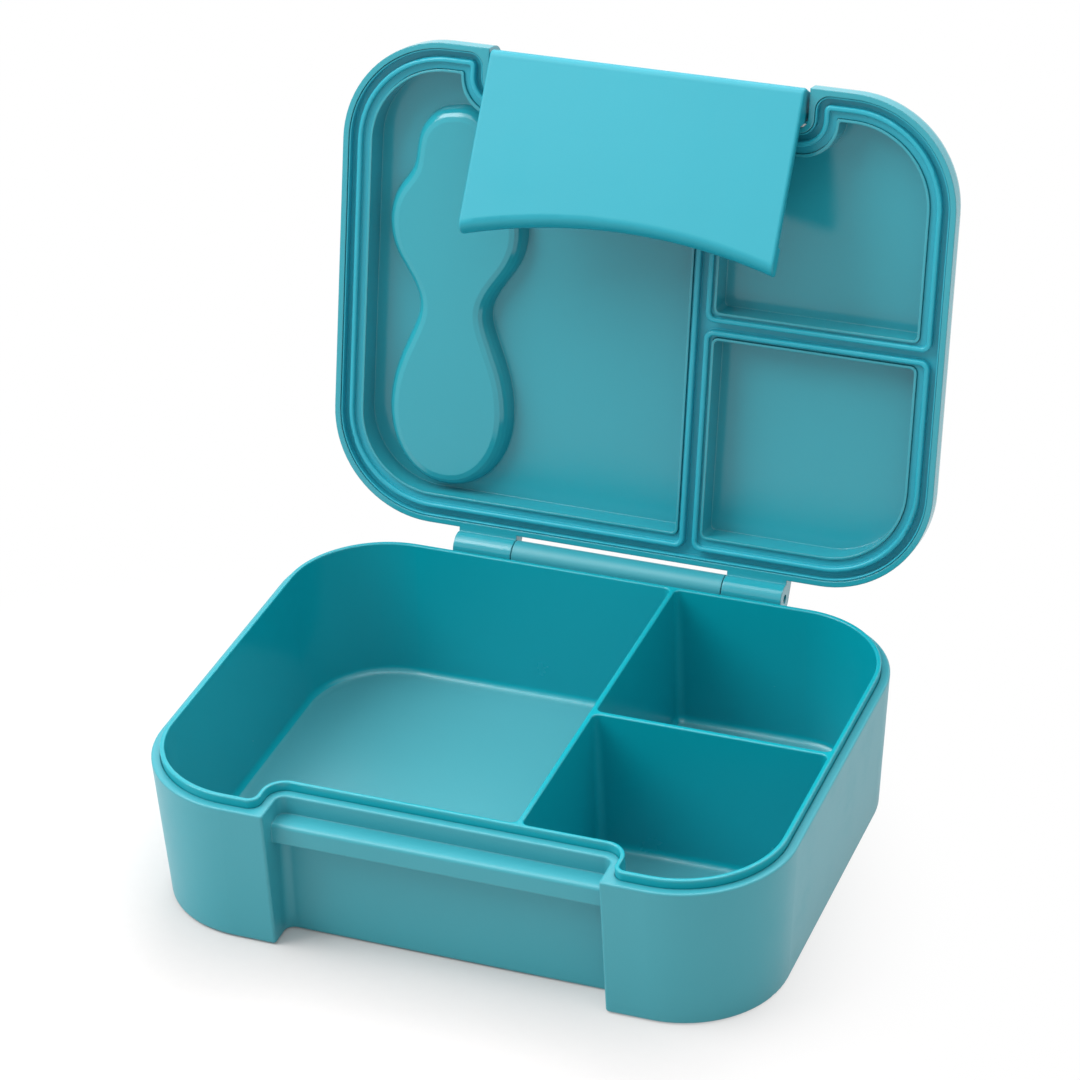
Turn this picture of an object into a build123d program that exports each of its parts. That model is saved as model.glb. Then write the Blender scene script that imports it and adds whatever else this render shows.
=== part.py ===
from build123d import *
import math
import os

# Bento lunch box, modelled in millimetres. Origin: centre of the footprint, on the face it rests on.
# X runs across the box, Y from the latch side to the hinge side, Z up.

# Overall sizes
width = 210
depth = 165
rim_height = 50  # ledge of the base, where the lid's rim sits
corner_radius = 36  # plan radius at the rim
draft = 3.5  # degrees that the outer walls lean in towards the bottom
lid_height = 12.7
lid_shoulder = 8  # round between the lid's side and its top
foot_edge_round = 1.2  # under the base
rim_edge_round = 0.6  # outside the ledge
overlap = 0.4  # how far joined shapes run into each other

# Base shell and tray
shell_wall = 2.9
shell_floor = 1.8
tray_gap = 0.15  # between the shell's wall and the tray
lip_thickness = 1.4  # tray wall, which stands up past the ledge as the sealing lip
lip_height = 3
lip_round = 0.4
tray_floor = 1.5
floor_round = 2.8
foot_margin = 0.3  # by which a cell's plan radius at the floor passes floor_round
cell_round = 2.2  # plan radius where a divider meets a wall
cell_lean = 2.2  # how far the cell walls come in at the floor
divider_lean = 0.7
divider_x = 22.8  # between the large cell and the two small ones
divider_y = 0  # between the two small cells
divider_thickness = 1.8

# Recess for the latch in the front of the base and of the lid
recess_half = 54.5
recess_depth = 13
recess_round = 3
recess_edge_round = 0.9  # upright edges of the recess on the outside
line_corner = 6.9  # plan radius that lip and seal take at those edges, less their inset
least_corner = 0.8
round_gap = 0.1  # kept between two rounds that share an edge
rail_drop = 6.4  # from the ledge down to the catch rail's top
rail_height = 6.7
rail_reach = 7.2  # how far the rail stands out of the recess wall
rail_top_round = 1.3
rail_foot_round = 0.4

# Lid hinge
hinge_reach = 6.2  # axis behind the rear face
hinge_drop = 0.5  # axis below the ledge
knuckle_radius = 4.8
base_knuckle_half = 37
lid_knuckle_end = 58
knuckle_gap = 0.35
gusset_drop = 15  # from the axis to the foot of the base knuckle's gusset
gusset_foot = 1.1  # gusset's foot inside the rear face
arm_rise = 7  # of the lid knuckle's arm up the lid's rear wall
arm_top_y = 1.9  # the arm's slope ends this far behind the axis
arm_top_z = 4.4  # and this far above it
pin_radius = 1.5
pin_clearance = 0.05
pin_end_inset = 0.6
lid_open_angle = 102.2

# Lid and seal
rim_gap = 0.3  # between the lid's rim and the ledge when the lid is shut
lid_wall = 1.9
lid_panel = 2
seal_gap = 0.12
groove_clearance = 0.45  # on each side of the tray's lip
bead_width = 1.7
bead_round = 0.7
seal_edge_round = 0.22
seal_reach = 8.9  # from the outer edge to the inner edge of the seal
bar_reach = 3.75  # half the seal's width over a divider
rib_gap = 0.12
rib_thickness = 0.85
seal_top = 4.8  # above the ledge
groove_depth = 3.4
flange_level = 2.3
rib_level = 1.5
bead_level = 0.6
panel_corner = 1.6  # plan radii of the lines round each cell of the lid
rib_corner = 2.2
groove_corner = 3.2
bead_corner = 1.8

# Latch
latch_half = 53.4
latch_length = 61
latch_wall = 2.4
latch_top_to_pin = 6.7
latch_front_to_pin = 11.5
latch_pin_behind = 10  # pin axis behind the front face of the rim
latch_top_round = 2.4
latch_side_round = 0.8
latch_lip_round = 3.6
latch_lip = 4.9  # return along the lower edge
latch_arc_rise = 7.5  # of the finger scoop in the lower edge
latch_barrel = 2.5
latch_webs = 5
web_thickness = 1.8
web_drop = 4  # of a web's foot below the barrel
latch_pin_radius = 1
latch_pin_grip = 2.6  # length of each end in its cheek
latch_bore_grip = 3
latch_swing = 63  # from shut to where it stands beside the open lid
hook_gap = 0.35
hook_catch = 0.8
hook_edge = 0.9  # height of its tip
hook_root = 6  # height where it leaves the plate
hook_half = 44
heel_angle = 36  # degrees of round heel behind the pin axis
heel_clearance = 0.4
relief_floor = 1.2  # lid left between the seal's channel and the heel's relief

# Spork pocket in the large cell of the lid
pocket_x = -66
form_outline = (  # place along the spork's form, from tip to bowl, and half its width there
    (-60.5, 0),
    (-58.3, 8.6),
    (-51.5, 14.4),
    (-44, 15.8),
    (-38.5, 16.8),
    (-31, 21.6),
    (-20, 24.4),
    (-9, 21.8),
    (0, 16),
    (8.5, 12.7),
    (17, 14.8),
    (28, 19.2),
    (42, 22),
    (54, 20.6),
    (63.5, 15.6),
    (69.2, 8.4),
    (71, 0),
)
pocket_bulge = 7
pocket_wall = 1.5
pocket_lean = 1  # how far its walls come in
pocket_round = 3.6  # and how far its round lower edge comes in after that
round_start = 0.35  # share of the depth where that round starts
form_levels = (0, 0.35, 0.6, 0.8, 0.93, 1)
spork_gap = 0.9  # to the pocket's wall
spork_lift = 0.3  # above the pocket's floor
spork_drop = 0.8  # below the lid's top
spork_thickness = 1.6
tine_gap = 2.2
tine_length = 13
tine_y = -60.5

# Derived places
ledge_width = shell_wall + tray_gap
tray_inner = ledge_width + lip_thickness
recess_wall_y = -depth / 2 + recess_depth
axis_y = depth / 2 + hinge_reach
axis_z = rim_height - hinge_drop
rim_z = rim_height + rim_gap
lid_top_z = rim_z + lid_height
seal_z = rim_height + seal_top
groove_in = ledge_width - groove_clearance
groove_out = tray_inner + groove_clearance
bar_groove = divider_thickness / 2 + groove_clearance
rib_outer = seal_reach + rib_gap
rib_inner = rib_outer + rib_thickness
bar_rib_outer = bar_reach + rib_gap
bar_rib_inner = bar_rib_outer + rib_thickness
latch_pin_y = -depth / 2 + latch_pin_behind
latch_pin_z = lid_top_z - latch_top_to_pin
panel_z = lid_top_z - lid_panel
pocket_depth = lid_panel + pocket_bulge - pocket_wall
cheek_end = recess_half + latch_pin_grip


def turn_about(y, z, angle):
    """Location that turns a finished piece about the X line through (y, z)."""
    return Location((0, y, z)) * Location((0, 0, 0), (angle, 0, 0)) * Location((0, -y, -z))


lid_pose = turn_about(axis_y, axis_z, -lid_open_angle)
latch_pose = lid_pose * turn_about(latch_pin_y, latch_pin_z, draft + latch_swing)


def placed(piece, pose):
    """The piece, modelled shut, in its open place."""
    with BuildPart() as moved:
        with Locations(pose):
            add(piece)
    return moved


# Outlines -----------------------------------------------------------------------------------------


def vertices_at(shape, x, y, reach=0.01):
    """Vertices of a sketch under way that lie on the lines x or y (None for any)."""
    near = []
    for v in shape.vertices():
        on_x = x is None or abs(v.X - x) < reach
        on_y = y is None or abs(v.Y - y) < reach
        if on_x and on_y:
            near.append(v)
    return near


def front_round(inset):
    """Plan radius at the recess's front corners, for a line that runs inside the edge."""
    return max(line_corner - inset, least_corner)


def rim_outline(inset, front_radius):
    """Plan of the box with its latch recess, drawn inset from the outer edge."""
    half = recess_half + inset
    wall_y = recess_wall_y + inset
    wall_round = min(recess_round + inset, recess_depth - front_radius - round_gap)
    with BuildSketch() as plan:
        RectangleRounded(width - 2 * inset, depth - 2 * inset, corner_radius - inset)
        with Locations((0, wall_y)):
            Rectangle(2 * half, depth, align=(Align.CENTER, Align.MAX), mode=Mode.SUBTRACT)
        for side in (-1, 1):
            fillet(vertices_at(plan, side * half, wall_y), wall_round)
            fillet(vertices_at(plan, side * half, -depth / 2 + inset), front_radius)
    return plan.sketch


def cell_outline(cell, inset, bar, radius, least_round=least_corner):
    """Plan of one cell: the rim outline cut back from the dividers by the bar's half width."""
    left_x = divider_x - bar
    right_x = divider_x + bar
    with BuildSketch() as plan:
        add(rim_outline(inset, max(front_round(inset), least_round)))
        if cell == "large":
            with Locations((left_x, 0)):
                Rectangle(width, depth, align=(Align.MAX, Align.CENTER), mode=Mode.INTERSECT)
            fillet(vertices_at(plan, left_x, None), radius)
        else:
            edge_y = divider_y + bar if cell == "rear" else divider_y - bar
            side = Align.MIN if cell == "rear" else Align.MAX
            with Locations((right_x, edge_y)):
                Rectangle(width, depth, align=(Align.MIN, side), mode=Mode.INTERSECT)
            corners = vertices_at(plan, right_x, None)
            corners += vertices_at(plan, width / 2 - inset, edge_y)
            fillet(corners, radius)
    return plan.sketch


cells = ("large", "rear", "front")


def drafted_box(inset, low, high):
    """Solid inside the base's drafted walls, inset from them, with the latch recess."""
    lean = math.tan(math.radians(draft))
    half = recess_half + inset
    with BuildPart() as body:
        for level in (low, high):
            in_here = inset + (rim_height - level) * lean
            with BuildSketch(Plane.XY.offset(level)):
                RectangleRounded(width - 2 * in_here, depth - 2 * in_here, corner_radius - in_here)
        loft(ruled=True)
        with BuildSketch(Plane.XY.offset(low)) as notch:
            with Locations((0, recess_wall_y + inset)):
                Rectangle(2 * half, depth, align=(Align.CENTER, Align.MAX))
            fillet(vertices_at(notch, None, recess_wall_y + inset), recess_round + inset)
        extrude(amount=high - low, mode=Mode.SUBTRACT)
        upright = body.edges().filter_by(lambda e: e.length > 0.9 * (high - low))
        upright = upright.filter_by(lambda e: abs(abs(e.center().X) - half) < 0.01)
        upright = upright.filter_by(lambda e: e.center().Y < recess_wall_y - recess_depth / 2)
        fillet(upright, front_round(inset) if inset else recess_edge_round)
    return body.part


def edges_at(shape, level, reach=0.01):
    """Edges that lie flat at one height."""
    flat = shape.edges().filter_by(lambda e: abs(e.bounding_box().max.Z - level) < reach)
    return flat.filter_by(lambda e: abs(e.bounding_box().min.Z - level) < reach)


# Base shell: outer wall, floor, catch rail and middle hinge knuckle ---------------------------------

with BuildPart() as base_shell:
    add(drafted_box(0, 0, rim_height))
    add(drafted_box(shell_wall, shell_floor, rim_height + 1), mode=Mode.SUBTRACT)
    fillet(edges_at(base_shell.part, 0), foot_edge_round)
    top_face = base_shell.faces().filter_by(Axis.Z).sort_by(Axis.Z)[-1]
    fillet(top_face.outer_wire().edges(), rim_edge_round)
    # catch rail across the recess
    with BuildSketch(Plane.YZ.offset(-recess_half - overlap)) as rail:
        rail_top = rim_height - rail_drop
        with Locations((recess_wall_y - rail_reach, rail_top - rail_height)):
            Rectangle(rail_reach + shell_wall / 2, rail_height, align=(Align.MIN, Align.MIN))
        fillet(vertices_at(rail, recess_wall_y - rail_reach, rail_top), rail_top_round)
        fillet(vertices_at(rail, recess_wall_y - rail_reach, rail_top - rail_height), rail_foot_round)
    extrude(amount=2 * (recess_half + overlap))
    # knuckle and the gusset that carries it
    with BuildSketch(Plane.YZ.offset(-base_knuckle_half)):
        with Locations((axis_y, axis_z)):
            Circle(knuckle_radius)
        with BuildLine():
            web_in = depth / 2 - shell_wall + overlap
            foot_z = axis_z - gusset_drop
            slant = knuckle_radius * math.sqrt(0.5)
            Polyline(
                (web_in, axis_z),
                (axis_y, axis_z),
                (axis_y + slant, axis_z - slant),
                (depth / 2 - gusset_foot, foot_z),
                (web_in, foot_z),
                close=True,
            )
        make_face()
    extrude(amount=2 * base_knuckle_half)
    with BuildSketch(Plane.YZ.offset(-base_knuckle_half)):
        with Locations((axis_y, axis_z)):
            Circle(pin_radius + pin_clearance)
    extrude(amount=2 * base_knuckle_half, mode=Mode.SUBTRACT)

base_shell.part.label = "base_shell"

# Compartment tray: three cells, with dividers as high as the sealing lip -----------------------------

tray_top = rim_height + lip_height
with BuildPart() as compartment_tray:
    add(drafted_box(ledge_width, shell_floor, tray_top))
    cell_floor = shell_floor + tray_floor
    foot_round = floor_round + foot_margin
    foot_bar = divider_thickness / 2 + divider_lean
    for cell in cells:
        with BuildSketch(Plane.XY.offset(cell_floor)):
            add(cell_outline(cell, tray_inner + cell_lean, foot_bar, foot_round, foot_round))
        with BuildSketch(Plane.XY.offset(tray_top)):
            add(cell_outline(cell, tray_inner, divider_thickness / 2, cell_round))
        loft(ruled=True, mode=Mode.SUBTRACT)
    floor_faces = compartment_tray.faces().filter_by(Axis.Z).filter_by(
        lambda f: abs(f.center().Z - cell_floor) < 0.01
    )
    for face in floor_faces:
        fillet(face.outer_wire().edges(), floor_round)
    fillet(edges_at(compartment_tray.part, tray_top), lip_round)

compartment_tray.part.label = "compartment_tray"


# Lid: rim wall, shoulder, ribs round the cells, spork pocket and two hinge knuckles ------------------


def pocket_outline(inset):
    """Plan of the spork's form: tip, grip, waist for the fingers, and bowl, drawn inset."""
    right = [(half, y) for y, half in form_outline]
    left = [(-half, y) for y, half in form_outline[-2:0:-1]]
    loop = right + left
    points = []
    for index, (x, y) in enumerate(loop):
        before = loop[index - 1]
        after = loop[(index + 1) % len(loop)]
        run_x = after[0] - before[0]
        run_y = after[1] - before[1]
        step = inset / math.hypot(run_x, run_y)
        points.append((pocket_x + x - step * run_y, y + step * run_x))
    with BuildSketch() as plan:
        with BuildLine():
            Spline(*points, periodic=True)
        make_face()
    return plan.sketch


def inward(share):
    """How far the form has narrowed at a share of its depth."""
    turn = max(share - round_start, 0) / (1 - round_start)
    return pocket_lean * share + pocket_round * (1 - math.sqrt(1 - turn * turn))


def pocket_form(inset, top, form_depth):
    """Solid with the spork's outline and a round lower edge."""
    with BuildPart() as form:
        for upper, lower in zip(form_levels, form_levels[1:]):
            with BuildSketch(Plane.XY.offset(top - form_depth * upper)):
                add(pocket_outline(inset + inward(upper)))
            with BuildSketch(Plane.XY.offset(top - form_depth * lower)):
                add(pocket_outline(inset + inward(lower)))
            loft(ruled=True)
    return form.part


def lid_knuckle(start, end):
    """Knuckle and its arm to the lid's rear wall, from start to end along X."""
    with BuildPart() as knuckle:
        with BuildSketch(Plane.YZ.offset(start)):
            with Locations((axis_y, axis_z)):
                Circle(knuckle_radius)
            with BuildLine():
                root_y = depth / 2 - lid_wall / 2
                Polyline(
                    (root_y, rim_z),
                    (axis_y, rim_z),
                    (axis_y + arm_top_y, axis_z + arm_top_z),
                    (root_y, rim_z + arm_rise),
                    close=True,
                )
            make_face()
        extrude(amount=end - start)
        with BuildSketch(Plane.YZ.offset(start)):
            with Locations((axis_y, axis_z)):
                Circle(pin_radius + pin_clearance)
        extrude(amount=end - start, mode=Mode.SUBTRACT)
    return knuckle.part


with BuildPart() as lid_shut:
    with BuildSketch(Plane.XY.offset(rim_z)):
        RectangleRounded(width, depth, corner_radius)
    extrude(amount=lid_height)
    fillet(edges_at(lid_shut.part, lid_top_z), lid_shoulder)
    # notch for the latch, with room for its heel
    with BuildSketch(Plane.XY.offset(rim_z - 1)) as notch:
        with Locations((0, recess_wall_y)):
            Rectangle(2 * recess_half, depth, align=(Align.CENTER, Align.MAX))
        fillet(vertices_at(notch, None, recess_wall_y), recess_round)
    extrude(amount=lid_height + 2, mode=Mode.SUBTRACT)
    # cells
    for cell in cells:
        with BuildSketch(Plane.XY.offset(rim_height)):
            add(cell_outline(cell, rib_inner, bar_rib_inner, panel_corner))
        extrude(amount=panel_z - rim_height, mode=Mode.SUBTRACT)
    # relief behind the latch's heel
    with BuildSketch(Plane.YZ.offset(-recess_half)) as relief:
        with Locations((latch_pin_y, latch_pin_z)):
            Circle(latch_top_to_pin + heel_clearance)
        with Locations((latch_pin_y, seal_z + relief_floor)):
            Rectangle(depth, lid_height, align=(Align.CENTER, Align.MIN), mode=Mode.INTERSECT)
    extrude(amount=2 * recess_half, mode=Mode.SUBTRACT)
    # seal's channel, and the ribs cut back to their level
    with BuildSketch(Plane.XY.offset(rim_height)) as channel:
        add(rim_outline(lid_wall, front_round(lid_wall)))
        for cell in cells:
            add(cell_outline(cell, rib_outer, bar_rib_outer, rib_corner), mode=Mode.SUBTRACT)
    extrude(amount=seal_top, mode=Mode.SUBTRACT)
    with BuildSketch(Plane.XY.offset(rim_height)):
        add(rim_outline(lid_wall, front_round(lid_wall)))
    extrude(amount=rib_level, mode=Mode.SUBTRACT)
    # spork pocket: bulge inside, hollow outside
    add(pocket_form(0, panel_z, pocket_bulge))
    add(pocket_form(pocket_wall, lid_top_z, pocket_depth), mode=Mode.SUBTRACT)
    add(lid_knuckle(-lid_knuckle_end, -base_knuckle_half - knuckle_gap))
    add(lid_knuckle(base_knuckle_half + knuckle_gap, lid_knuckle_end))
    # holes for the latch's pin, one in each cheek of the notch
    with BuildSketch(Plane.YZ.offset(-recess_half - latch_bore_grip)):
        with Locations((latch_pin_y, latch_pin_z)):
            Circle(latch_pin_radius + pin_clearance)
    extrude(amount=2 * (recess_half + latch_bore_grip), mode=Mode.SUBTRACT)

lid = placed(lid_shut.part, lid_pose)
lid.part.label = "lid"

# Seal: one soft moulding with an outer lip, a groove for the tray's lip and a bead round each cell ---

with BuildPart() as seal_shut:
    with BuildSketch(Plane.XY.offset(rim_height + flange_level)):
        add(rim_outline(lid_wall + seal_gap, front_round(lid_wall)))
        for cell in cells:
            add(cell_outline(cell, seal_reach, bar_reach, rib_corner), mode=Mode.SUBTRACT)
    extrude(amount=seal_top - flange_level)
    with BuildSketch(Plane.XY.offset(rim_height + bead_level)):
        add(rim_outline(lid_wall + seal_gap, front_round(lid_wall)))
        add(rim_outline(groove_in, front_round(groove_in)), mode=Mode.SUBTRACT)
    extrude(amount=flange_level - bead_level)
    for cell in cells:
        with BuildSketch(Plane.XY.offset(rim_height + bead_level)):
            add(cell_outline(cell, groove_out, bar_groove, groove_corner))
            inner_edge = groove_out + bead_width
            inner_bar = bar_groove + bead_width
            add(cell_outline(cell, inner_edge, inner_bar, bead_corner), mode=Mode.SUBTRACT)
        extrude(amount=flange_level - bead_level)
    with BuildSketch(Plane.XY.offset(rim_height)):
        add(rim_outline(groove_in, front_round(groove_in)))
        for cell in cells:
            add(cell_outline(cell, groove_out, bar_groove, groove_corner), mode=Mode.SUBTRACT)
    extrude(amount=groove_depth, mode=Mode.SUBTRACT)
    bead_faces = seal_shut.faces().filter_by(Axis.Z).filter_by(
        lambda f: abs(f.center().Z - rim_height - bead_level) < 0.01
    )
    for face in bead_faces:
        is_outer_lip = face.bounding_box().size.X > width - 2 * seal_reach
        fillet(face.edges(), seal_edge_round if is_outer_lip else bead_round)

lid_seal = placed(seal_shut.part, lid_pose)
lid_seal.part.label = "lid_seal"

# Latch: cover of the whole recess, with a rolled lower lip, a hook, and a barrel on its pin ----------

latch_front_y = latch_pin_y - latch_front_to_pin
latch_foot_z = lid_top_z - latch_length


def latch_front(side, foot, head):
    """Front view of the latch: straight sides and head, finger scoop in the foot."""
    with BuildSketch() as view:
        with BuildLine():
            Polyline((side, foot), (side, head), (-side, head), (-side, foot))
            ThreePointArc((-side, foot), (0, foot + latch_arc_rise), (side, foot))
        make_face()
    return view.sketch


with BuildPart() as latch_shut:
    with BuildSketch(Plane.XZ.offset(-latch_front_y)):
        add(latch_front(latch_half, latch_foot_z, lid_top_z))
    extrude(amount=-latch_lip)
    lower = latch_shut.edges().filter_by(GeomType.CIRCLE).sort_by(Axis.Y)[0]
    fillet(lower, latch_lip_round)
    upper = latch_shut.edges().filter_by(Axis.X).group_by(Axis.Z)[-1].sort_by(Axis.Y)[0]
    fillet(upper, latch_top_round)
    # hollow behind the plate, above the rolled lip
    with BuildSketch(Plane.XZ.offset(-latch_front_y - latch_wall)):
        add(latch_front(width, latch_foot_z + latch_wall, lid_top_z - latch_wall))
    extrude(amount=-latch_lip, mode=Mode.SUBTRACT)
    # cap over the lid's notch, with its heel round the pin
    with BuildSketch(Plane.YZ.offset(-latch_half)):
        with Locations((latch_front_y + latch_lip / 2, lid_top_z)):
            cap_length = latch_front_to_pin - latch_lip / 2
            Rectangle(cap_length, latch_wall, align=(Align.MIN, Align.MAX))
    extrude(amount=2 * latch_half)
    with BuildSketch(Plane.YZ.offset(-latch_half)):
        with Locations((latch_pin_y, latch_pin_z)):
            Circle(latch_top_to_pin)
            Circle(latch_top_to_pin - latch_wall, mode=Mode.SUBTRACT)
        with BuildLine():
            reach = 2 * latch_top_to_pin
            turn = math.radians(90 - heel_angle)
            Polyline(
                (latch_pin_y, latch_pin_z),
                (latch_pin_y, latch_pin_z + reach),
                (latch_pin_y + reach * math.cos(turn), latch_pin_z + reach),
                (latch_pin_y + reach * math.cos(turn), latch_pin_z + reach * math.sin(turn)),
                close=True,
            )
        make_face(mode=Mode.INTERSECT)
    extrude(amount=2 * latch_half)
    # barrel round the pin, short of the rounds in the notch's corners
    barrel_half = recess_half - recess_round - round_gap
    with BuildSketch(Plane.YZ.offset(-barrel_half)):
        with Locations((latch_pin_y, latch_pin_z)):
            Circle(latch_barrel)
    extrude(amount=2 * barrel_half)
    # webs between cap, plate and barrel
    web_pitch = (2 * latch_half - web_thickness) / (latch_webs - 1)
    for index in range(latch_webs):
        web_x = -latch_half + index * web_pitch
        with BuildSketch(Plane.YZ.offset(web_x)):
            with BuildLine():
                Polyline(
                    (latch_front_y + latch_wall / 2, lid_top_z - latch_wall / 2),
                    (latch_pin_y, lid_top_z - latch_wall / 2),
                    (latch_pin_y, latch_pin_z - latch_barrel / 2),
                    (latch_front_y + latch_wall / 2, latch_pin_z - latch_barrel - web_drop),
                    close=True,
                )
            make_face()
        extrude(amount=web_thickness)
    with BuildSketch(Plane.YZ.offset(-latch_half)):
        with Locations((latch_pin_y, latch_pin_z)):
            Circle(latch_pin_radius + pin_clearance)
    extrude(amount=2 * latch_half, mode=Mode.SUBTRACT)
    # hook that snaps under the catch rail; the plate leans by the draft when it is shut
    lean = math.radians(draft)
    rail_in = recess_wall_y - rail_reach - latch_pin_y
    rail_down = rim_height - rail_drop - rail_height - latch_pin_z
    hook_top = rail_down * math.cos(lean) - rail_in * math.sin(lean) - hook_gap
    hook_tip = rail_in * math.cos(lean) + rail_down * math.sin(lean) + hook_catch
    with BuildSketch(Plane.YZ.offset(-hook_half)):
        with BuildLine():
            Polyline(
                (latch_front_y + latch_wall / 2, latch_pin_z + hook_top),
                (latch_pin_y + hook_tip, latch_pin_z + hook_top),
                (latch_pin_y + hook_tip, latch_pin_z + hook_top - hook_edge),
                (latch_front_y + latch_wall / 2, latch_pin_z + hook_top - hook_root),
                close=True,
            )
        make_face()
    extrude(amount=2 * hook_half)
    front_sides = latch_shut.edges().filter_by(Axis.Z).filter_by(
        lambda e: abs(e.center().Y - latch_front_y) < 0.01
    )
    fillet(front_sides, latch_side_round)

latch = placed(latch_shut.part, latch_pose)
latch.part.label = "latch"

# Pins ---------------------------------------------------------------------------------------------

with BuildPart() as lid_hinge_pin:
    pin_end = lid_knuckle_end - pin_end_inset
    with BuildSketch(Plane.YZ.offset(-pin_end)):
        with Locations((axis_y, axis_z)):
            Circle(pin_radius)
    extrude(amount=2 * pin_end)

lid_hinge_pin.part.label = "lid_hinge_pin"

with BuildPart() as latch_pin_shut:
    with BuildSketch(Plane.YZ.offset(-cheek_end)):
        with Locations((latch_pin_y, latch_pin_z)):
            Circle(latch_pin_radius)
    extrude(amount=2 * cheek_end)

latch_hinge_pin = placed(latch_pin_shut.part, lid_pose)
latch_hinge_pin.part.label = "latch_hinge_pin"

# Spork: a shallow shell that follows its pocket, with tines at the small end -------------------------

with BuildPart() as spork_shut:
    spork_top = lid_top_z - spork_drop
    spork_edge = pocket_wall + spork_gap
    spork_depth = pocket_depth - spork_drop - spork_lift
    add(pocket_form(spork_edge, spork_top, spork_depth))
    hollow = pocket_form(spork_edge + spork_thickness, spork_top, spork_depth - spork_thickness)
    add(hollow, mode=Mode.SUBTRACT)
    for side in (-1, 0, 1):
        with BuildSketch(Plane.XY.offset(spork_top)):
            with Locations((pocket_x + side * 2 * tine_gap, tine_y)):
                Rectangle(tine_gap, 2 * tine_length, align=(Align.CENTER, Align.CENTER))
        extrude(amount=-spork_depth, mode=Mode.SUBTRACT)

spork = placed(spork_shut.part, lid_pose)
spork.part.label = "spork"

# Files --------------------------------------------------------------------------------------------

os.makedirs("parts", exist_ok=True)
export_step(base_shell.part, "parts/base_shell.step")
export_step(compartment_tray.part, "parts/compartment_tray.step")
export_step(lid.part, "parts/lid.step")
export_step(lid_seal.part, "parts/lid_seal.step")
export_step(latch.part, "parts/latch.step")
export_step(lid_hinge_pin.part, "parts/lid_hinge_pin.step")
export_step(latch_hinge_pin.part, "parts/latch_hinge_pin.step")
export_step(spork.part, "parts/spork.step")
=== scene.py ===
import math

import bpy
from mathutils import Matrix, Vector


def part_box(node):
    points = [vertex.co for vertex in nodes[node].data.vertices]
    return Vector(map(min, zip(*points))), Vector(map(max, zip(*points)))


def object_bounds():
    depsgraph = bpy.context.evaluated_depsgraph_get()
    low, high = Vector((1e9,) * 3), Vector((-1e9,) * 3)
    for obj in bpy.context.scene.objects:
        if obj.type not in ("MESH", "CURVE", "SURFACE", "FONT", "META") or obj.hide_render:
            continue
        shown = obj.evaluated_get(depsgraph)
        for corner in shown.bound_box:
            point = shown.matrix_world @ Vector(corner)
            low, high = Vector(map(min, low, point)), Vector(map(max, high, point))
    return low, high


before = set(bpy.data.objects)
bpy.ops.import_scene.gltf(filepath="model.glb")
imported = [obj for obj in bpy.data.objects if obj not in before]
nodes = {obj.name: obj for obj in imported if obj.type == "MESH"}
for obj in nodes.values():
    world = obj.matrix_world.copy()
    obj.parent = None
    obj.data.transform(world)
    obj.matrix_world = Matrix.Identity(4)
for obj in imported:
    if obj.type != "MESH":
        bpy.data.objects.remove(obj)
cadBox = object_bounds()
scene = bpy.context.scene


class Wire:
    # one socket of a finish, so that shader maths reads as plain arithmetic
    def __init__(self, finish, socket):
        self.finish = finish
        self.socket = socket

    def maths(self, operation, first, second=None):
        values = {0: first} if second is None else {0: first, 1: second}
        return self.finish.node("ShaderNodeMath", {"operation": operation}, values)

    def __add__(self, other):
        return self.maths("ADD", self, other)

    def __radd__(self, other):
        return self.maths("ADD", other, self)

    def __sub__(self, other):
        return self.maths("SUBTRACT", self, other)

    def __rsub__(self, other):
        return self.maths("SUBTRACT", other, self)

    def __mul__(self, other):
        return self.maths("MULTIPLY", self, other)

    def __rmul__(self, other):
        return self.maths("MULTIPLY", other, self)

    def between(self, low, high):
        # 0 below low, 1 above high, and smooth from one to the other
        settings = {"interpolation_type": "SMOOTHSTEP"}
        inputs = {"Value": self, "From Min": low, "From Max": high}
        return self.finish.node("ShaderNodeMapRange", settings, inputs)


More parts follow.
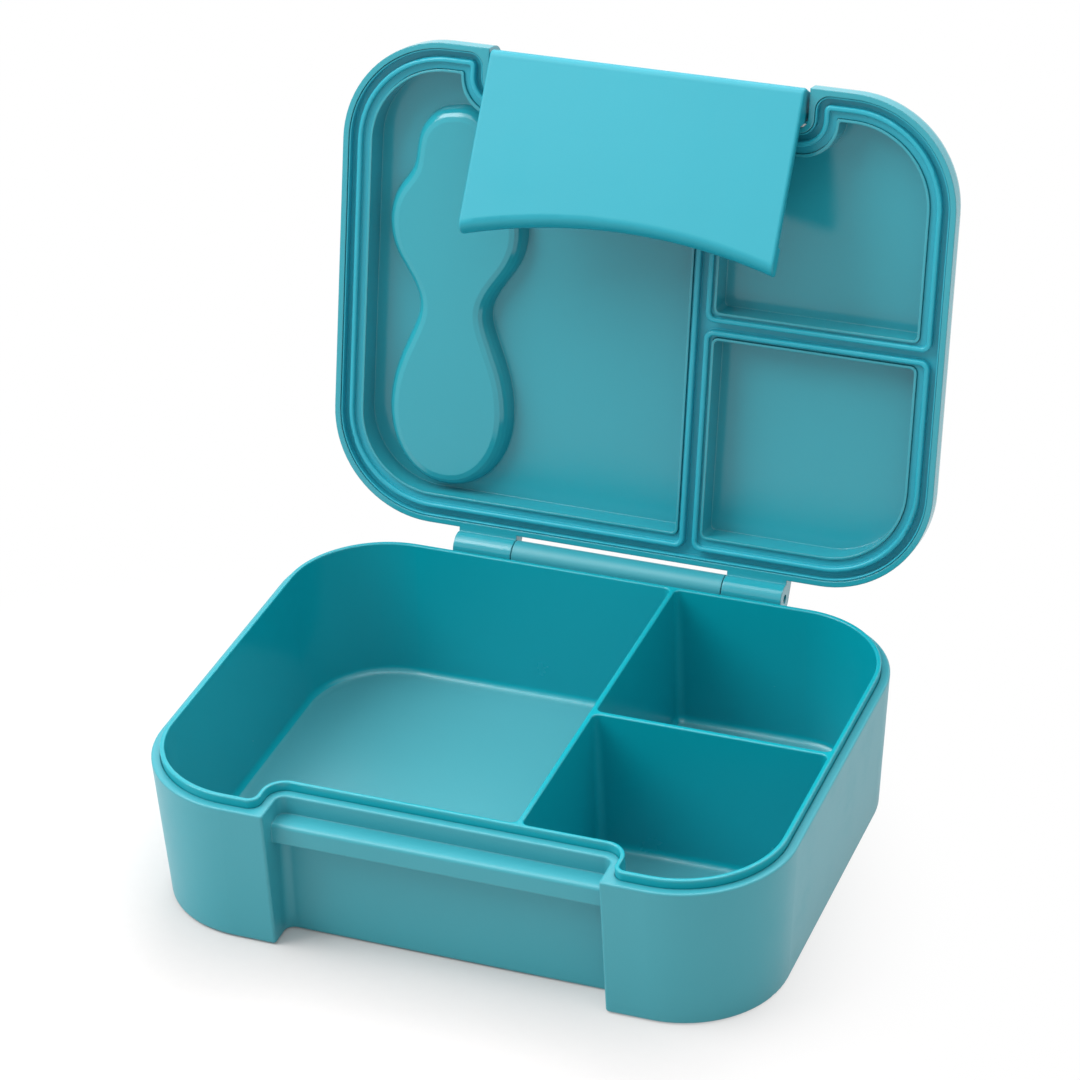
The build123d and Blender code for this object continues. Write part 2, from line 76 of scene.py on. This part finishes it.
class Finish:
    # the nodes of one material, or of the room
    def __init__(self, owner):
        owner.use_nodes = True
        self.owner = owner
        self.tree = owner.node_tree
        self.tree.nodes.clear()

    def node(self, kind, settings=None, inputs=None, output=0):
        made = self.tree.nodes.new(kind)
        for key, value in (settings or {}).items():
            setattr(made, key, value)
        for key, value in (inputs or {}).items():
            if isinstance(value, Wire):
                self.tree.links.new(value.socket, made.inputs[key])
            else:
                made.inputs[key].default_value = value
        return Wire(self, made.outputs[output]) if made.outputs else None

    def mixed(self, amount, first, second):
        # from first to second with amount; the node's colour sockets are 6 and 7
        parts = {0: amount, 6: first, 7: second}
        return self.node("ShaderNodeMix", {"data_type": "RGBA"}, parts, 2)

    def place(self):
        # the piece's own coordinates, in metres, which stay with it as it moves
        return self.node("ShaderNodeTexCoord", output="Object")

    def noise(self, where, perMetre, detail=3, roughness=0.5):
        inputs = {"Vector": where, "Scale": perMetre, "Detail": detail, "Roughness": roughness}
        return self.node("ShaderNodeTexNoise", None, inputs)

    def stretched(self, where, amounts):
        return self.node("ShaderNodeVectorMath", {"operation": "MULTIPLY"}, {0: where, 1: amounts})

    def roundedEdges(self, radius):
        # normals as a mould leaves them, with no knife edge
        return self.node("ShaderNodeBevel", {"samples": 4}, {"Radius": radius})

    def edgeMask(self, rounded, low=0.8, high=0.995):
        # 1 along convex and concave edges, 0 on the faces
        plain = self.node("ShaderNodeNewGeometry", output="Normal")
        settings = {"operation": "DOT_PRODUCT"}
        same = self.node("ShaderNodeVectorMath", settings, {0: rounded, 1: plain}, "Value")
        return 1 - same.between(low, high)

    def seen(self):
        # 1 for what is seen directly, in a reflection or through glass, 0 for light that falls on things
        rays = ("Is Camera Ray", "Is Glossy Ray", "Is Transmission Ray")
        camera, glossy, through = (self.node("ShaderNodeLightPath", output=ray) for ray in rays)
        return (camera + glossy + through).between(0, 1)

    def surface(self, shader, kind="ShaderNodeOutputMaterial"):
        self.node(kind, None, {"Surface": shader})
        return self.owner


def newFinish(name):
    return Finish(bpy.data.materials.new(name))


def colour(red, green, blue):
    return (red, green, blue, 1.0)


def lighter(shade, amount):
    return tuple(min(1.0, part * amount) for part in shade[:3]) + (1.0,)


def mouldedPlastic(name, look):
    finish = newFinish(name)
    where = finish.place()
    rounded = finish.roundedEdges(look["edgeRadius"])
    edge = finish.edgeMask(rounded)
    # slow clouding of the pigment, finer flow marks, and a painted highlight that makes the edges paler
    cloud = finish.noise(where, look["cloudPerMetre"], 2).between(*look["cloudRange"])
    streaks = finish.stretched(where, look["flowStretch"])
    flow = finish.noise(streaks, look["flowPerMetre"], 4, 0.6).between(*look["flowRange"])
    shade = finish.mixed(cloud * look["cloudAmount"], look["colour"], look["cloudColour"])
    shade = finish.mixed(flow * look["flowAmount"], shade, lighter(look["colour"], look["flowLift"]))
    # painted highlight: edges and creases are mixed toward a paler colour
    shade = finish.mixed(edge * look["edgeHighlightAmount"], shade, look["edgeHighlightColour"])
    # gloss varies with the mould's polish, and handling dulls the edges
    handled = finish.noise(where, look["handledPerMetre"], 5, 0.65).between(*look["handledRange"])
    gloss = look["roughness"] + handled * look["roughnessSpread"] + edge * look["edgeDulling"]
    if "sheenAndEtchBelow" in look:
        # the flat floor gets a painted sheen that makes it paler than the walls, and a fine etch in the
        # mould leaves it duller
        height = finish.node("ShaderNodeSeparateXYZ", None, {"Vector": where}, "Z")
        sheenAndEtch = 1 - height.between(look["sheenAndEtchBelow"], look["sheenAndEtchBelow"] + look["sheenAndEtchFade"])
        # painted sheen: the floor's colour is lifted toward a paler, redder teal
        shade = finish.mixed(sheenAndEtch * look["paintedSheenAmount"], shade, look["paintedSheenColour"])
        gloss = gloss + sheenAndEtch * look["etchedDulling"]
    grain = finish.noise(where, look["grainPerMetre"], 2, 0.6)
    wave = finish.noise(where, look["wavePerMetre"], 1)
    grained = finish.node("ShaderNodeBump", None, {
        "Strength": look["grainStrength"], "Distance": look["grainDepth"],
        "Height": grain, "Normal": rounded})
    waved = finish.node("ShaderNodeBump", None, {
        "Strength": look["waveStrength"], "Distance": look["waveDepth"],
        "Height": wave, "Normal": grained})
    return finish.surface(finish.node("ShaderNodeBsdfPrincipled", None, {
        "Base Color": shade, "Roughness": gloss, "Normal": waved, "IOR": look["ior"]}))


def dress(node, material):
    mesh = nodes[node].data
    mesh.materials.clear()
    mesh.materials.append(material)
    print("dressed", node, "in", material.name)


# lengths are in metres, and each PerMetre is a noise scale
basePlastic = {
    "colour": colour(0.034, 0.306, 0.368),
    "cloudColour": colour(0.038, 0.322, 0.386),
    "cloudAmount": 0.5,
    "cloudPerMetre": 14,
    "cloudRange": (0.3, 0.7),
    "flowAmount": 0.06,
    "flowPerMetre": 60,
    "flowRange": (0.35, 0.75),
    "flowLift": 1.16,
    "flowStretch": (1.0, 1.0, 0.15),
    # the painted highlight colour along edges and creases
    "edgeHighlightColour": colour(0.13, 0.44, 0.50),
    "edgeHighlightAmount": 0.4,
    "edgeRadius": 0.0006,
    "edgeDulling": 0.05,
    "roughness": 0.38,
    "roughnessSpread": 0.07,
    "handledPerMetre": 38,
    "handledRange": (0.45, 0.8),
    "grainPerMetre": 5200,
    "grainStrength": 0.12,
    "grainDepth": 0.0001,
    "wavePerMetre": 120,
    "waveStrength": 0.06,
    "waveDepth": 0.0006,
    "ior": 1.52,
}
dress("base_shell", mouldedPlastic("bodyTeal", basePlastic))

trayPlastic = dict(basePlastic)
trayThickness = 0.0015
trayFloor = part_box("compartment_tray")[0][2] + trayThickness
trayPlastic.update({
    "colour": colour(0.001, 0.322, 0.392),
    "cloudColour": colour(0.002, 0.338, 0.410),
    "roughness": 0.22,
    "flowStretch": (0.2, 1.0, 1.0),
    # below this height the floor gets a painted sheen and an etched dullness
    "sheenAndEtchBelow": trayFloor + 0.0001,
    "sheenAndEtchFade": 0.0005,
    "paintedSheenAmount": 0.9,
    "paintedSheenColour": colour(0.074, 0.330, 0.382),
    "etchedDulling": 0.15,
})
dress("compartment_tray", mouldedPlastic("trayTeal", trayPlastic))

lidPlastic = dict(basePlastic)
lidPlastic.update({
    "colour": colour(0.022, 0.325, 0.398),
    "cloudColour": colour(0.026, 0.340, 0.416),
    "flowStretch": (1.0, 0.6, 0.2),
    "roughness": 0.075,
    "roughnessSpread": 0.05,
    "waveStrength": 0.03,
    "ior": 1.55,
})
dress("lid", mouldedPlastic("lidTeal", lidPlastic))

latchPlastic = dict(basePlastic)
latchPlastic.update({
    "colour": colour(0.005, 0.306, 0.392),
    "cloudColour": colour(0.006, 0.320, 0.408),
    "edgeHighlightColour": colour(0.10, 0.56, 0.66),
    "edgeRadius": 0.0007,
    "roughness": 0.46,
    "grainPerMetre": 3600,
    "grainStrength": 0.22,
    "waveStrength": 0.04,
})
dress("latch", mouldedPlastic("latchTurquoise", latchPlastic))

sporkPlastic = dict(latchPlastic)
sporkPlastic.update({"roughness": 0.26, "grainStrength": 0.08})
dress("spork", mouldedPlastic("sporkTurquoise", sporkPlastic))

sealRubber = dict(basePlastic)
sealRubber.update({
    "colour": colour(0.020, 0.365, 0.465),
    "cloudColour": colour(0.024, 0.385, 0.490),
    "edgeHighlightColour": colour(0.16, 0.58, 0.68),
    "edgeRadius": 0.0003,
    "roughness": 0.28,
    "grainPerMetre": 2600,
    "grainStrength": 0.2,
    "waveStrength": 0.05,
    "ior": 1.43,
})
dress("lid_seal", mouldedPlastic("sealSilicone", sealRubber))


pinSteel = {
    "dark": colour(0.36, 0.37, 0.39),
    "light": colour(0.62, 0.63, 0.65),
    "roughness": 0.24,
    "roughnessSpread": 0.16,
    "linesPerMetre": 3,
    "drawStretch": (6.0, 900.0, 900.0),
    "spotsPerMetre": 400,
    "spotDulling": 0.08,
    "lineStrength": 0.15,
    "lineDepth": 0.00005,
}


def drawnSteel(name, look):
    finish = newFinish(name)
    where = finish.place()
    along = finish.stretched(where, look["drawStretch"])
    lines = finish.noise(along, look["linesPerMetre"], 4, 0.7).between(0.3, 0.7)
    spots = finish.noise(where, look["spotsPerMetre"], 3).between(0.5, 0.75)
    shade = finish.mixed(lines, look["light"], look["dark"])
    gloss = look["roughness"] + lines * look["roughnessSpread"] + spots * look["spotDulling"]
    bump = finish.node("ShaderNodeBump", None, {
        "Strength": look["lineStrength"], "Distance": look["lineDepth"], "Height": lines})
    return finish.surface(finish.node("ShaderNodeBsdfPrincipled", None, {
        "Base Color": shade, "Metallic": 1.0, "Roughness": gloss, "Normal": bump}))


steel = drawnSteel("pinSteel", pinSteel)
dress("lid_hinge_pin", steel)
dress("latch_hinge_pin", steel)


# white paper that keeps the soft shadow near the box, and melts into the white room further out
floorLook = {
    "halfSize": 4.0,
    "drop": 0.0002,
    "paper": (0.595, 0.575, 0.570),
    "fibresPerMetre": 300,
    "fibreLift": 1.03,
    "glow": 0.05,
    "shadowCentre": (-0.07, -0.09, 0.0),  # off to the front left, so the floor turns to painted white light sooner on the right and wipes out the shadow there
    "shadowReach": (0.08, 0.24),
}


def makeFloor(look):
    size = look["halfSize"]
    corners = [(-size, -size, 0), (size, -size, 0), (size, size, 0), (-size, size, 0)]
    mesh = bpy.data.meshes.new("floor")
    mesh.from_pydata(corners, [], [(0, 1, 2, 3)])
    floor = bpy.data.objects.new("floor", mesh)
    scene.collection.objects.link(floor)
    floor.location.z = cadBox[0][2] - look["drop"]
    finish = newFinish("floorPaper")
    where = finish.place()
    fibre = finish.noise(where, look["fibresPerMetre"], 3)
    paper = finish.mixed(fibre, colour(*look["paper"]), lighter(look["paper"], look["fibreLift"]))
    matte = finish.node("ShaderNodeBsdfDiffuse", None, {"Color": paper})
    seen = finish.seen()
    glow = finish.node("ShaderNodeEmission", None, {"Strength": seen * look["glow"]})
    near = finish.node("ShaderNodeAddShader", None, {0: matte, 1: glow})
    white = finish.node("ShaderNodeEmission", None, {"Strength": 1.0})
    settings = {"operation": "SUBTRACT"}
    offset = finish.node("ShaderNodeVectorMath", settings, {0: where, 1: look["shadowCentre"]})
    distance = finish.node("ShaderNodeVectorMath", {"operation": "LENGTH"}, {0: offset}, "Value")
    # painted light: beyond the reach the floor glows plain white instead of taking the box's shadow
    far = distance.between(*look["shadowReach"]) * seen
    melted = finish.node("ShaderNodeMixShader", None, {0: far, 1: near, 2: white})
    mesh.materials.append(finish.surface(melted))
    print("floor laid")


makeFloor(floorLook)

lightLook = {
    "room": 0.6,
    "key": {"from": (-1.45, -0.65, 1.85), "size": 1.7, "power": 46},
    "top": {"from": (0.2, 0.3, 2.3), "size": 2.8, "power": 38},
    "back": {"from": (-0.2, 1.5, 1.8), "size": 1.6, "power": 18},
}


def makeWorld(room):
    # the room lights the box at its own strength, and is plain white to the eye and in reflections
    world = bpy.data.worlds.new("whiteRoom")
    scene.world = world
    finish = Finish(world)
    seen = finish.seen()
    strength = room + seen * (1.0 - room)
    inputs = {"Color": colour(1, 1, 1), "Strength": strength}
    finish.surface(finish.node("ShaderNodeBackground", None, inputs), "ShaderNodeOutputWorld")


def makeLamp(name, look):
    lamp = bpy.data.lights.new(name, "AREA")
    lamp.shape = "DISK"
    lamp.size = look["size"]
    lamp.energy = look["power"]
    body = bpy.data.objects.new(name, lamp)
    scene.collection.objects.link(body)
    centre = (Vector(cadBox[0]) + Vector(cadBox[1])) / 2
    body.location = look["from"]
    body.rotation_euler = (centre - body.location).to_track_quat("-Z", "Y").to_euler()
    print("lit by", name)


makeWorld(lightLook["room"])
makeLamp("keyLamp", lightLook["key"])
makeLamp("topLamp", lightLook["top"])
makeLamp("backLamp", lightLook["back"])

cameraLook = {
    "location": (0.39715, -0.98511, 0.73551),
    "turn": 21.603,
    "down": 30.445,
    "roll": -1.953,
    "lens": 132.97,
    "sensor": 36,
}


def makeCamera(look):
    camera = bpy.data.objects.new("camera", bpy.data.cameras.new("camera"))
    scene.collection.objects.link(camera)
    camera.data.lens = look["lens"]
    camera.data.sensor_width = look["sensor"]
    turn = Matrix.Rotation(math.radians(look["turn"]), 4, "Z")
    tilt = Matrix.Rotation(math.radians(90 - look["down"]), 4, "X")
    roll = Matrix.Rotation(math.radians(look["roll"]), 4, "Z")
    camera.matrix_world = Matrix.Translation(look["location"]) @ turn @ tilt @ roll
    scene.camera = camera
    print("camera placed")


makeCamera(cameraLook)
scene.view_settings.view_transform = "Standard"
